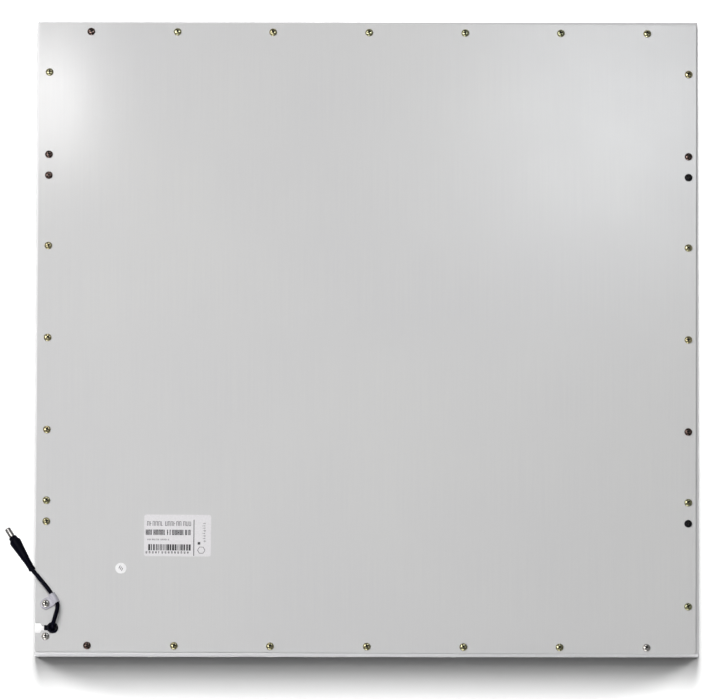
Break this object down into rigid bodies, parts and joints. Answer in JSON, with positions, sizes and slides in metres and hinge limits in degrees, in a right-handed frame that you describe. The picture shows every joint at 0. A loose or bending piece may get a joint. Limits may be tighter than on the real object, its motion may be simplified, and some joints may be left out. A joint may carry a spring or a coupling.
{
  "type": "led ceiling panel light",
  "caption": "Square edge-lit LED ceiling panel, thin, with a screwed back plate and a short lead that ends in a barrel plug.",
  "frame": {"origin": "centre of the bezel's lower face, which is the light-emitting side", "axes": "+Z towards the back plate (up when fitted in a ceiling), +X east and +Y north in the plane of the panel; the lead comes out at the south-west corner (-X, -Y)"},
  "size_m": [0.6221, 0.595, 0.0178],
  "materials": {
    "plate": "satin light grey powder coat",
    "frame": "white powder coat on aluminium extrusion",
    "screw_zinc": "yellow zinc plate",
    "screw_bronze": "dark bronze plate",
    "screw_nickel": "nickel plate",
    "rubber": "matte black rubber",
    "lead": "satin black PVC jacket",
    "clip": "translucent natural nylon",
    "plug": "moulded black PVC",
    "barrel": "nickel-plated brass",
    "insulator": "black insulator",
    "label": "white printed paper, satin",
    "diffuser": "opal diffuser sheet",
    "light_guide": "clear acrylic",
    "reflector": "white reflector film",
    "foam": "light grey foam",
    "led_board": "white board with LEDs",
    "key": "pressed steel",
    "wire": "white insulated wire",
    "inner_wire": "red insulated wire"
  },
  "bodies": {
    "root": {"back_plate": "plate", "cable_grommet": "rubber", "corner_key_ne": "key", "corner_key_nw": "key", "corner_key_se": "key", "corner_key_sw": "key", "dc_lead": "lead", "diffuser": "diffuser", "foam_pad": "foam", "frame_side_east": "frame", "frame_side_north": "frame", "frame_side_south": "frame", "frame_side_west": "frame", "inner_lead": "inner_wire", "led_bar_east": "led_board", "led_bar_west": "led_board", "light_guide": "light_guide", "link_wire": "wire", "p_clip": "clip", "plug_barrel": "barrel", "plug_body": "plug", "plug_insulator": "insulator", "plug_strain_relief": "plug", "rating_label": "label", "reflector": "reflector", "round_sticker": "label", "screw_east_01": "screw_zinc", "screw_east_02": "screw_bronze", "screw_east_03": "screw_zinc", "screw_east_04": "screw_bronze", "screw_east_05": "screw_zinc", "screw_east_06": "screw_zinc", "screw_east_07": "screw_bronze", "screw_east_08": "screw_bronze", "screw_east_09": "screw_zinc", "screw_north_01": "screw_bronze", "screw_north_02": "screw_zinc", "screw_north_03": "screw_zinc", "screw_north_04": "screw_zinc", "screw_north_05": "screw_zinc", "screw_north_06": "screw_zinc", "screw_north_07": "screw_zinc", "screw_south_01": "screw_bronze", "screw_south_02": "screw_zinc", "screw_south_03": "screw_zinc", "screw_south_04": "screw_zinc", "screw_south_05": "screw_zinc", "screw_south_06": "screw_zinc", "screw_south_07": "screw_nickel", "screw_west_01": "screw_nickel", "screw_west_02": "screw_nickel", "screw_west_03": "screw_zinc", "screw_west_04": "screw_zinc", "screw_west_05": "screw_zinc", "screw_west_06": "screw_zinc", "screw_west_07": "screw_zinc", "screw_west_08": "screw_bronze", "screw_west_09": "screw_bronze", "screw_west_10": "screw_zinc"}
  },
  "joints": []
}
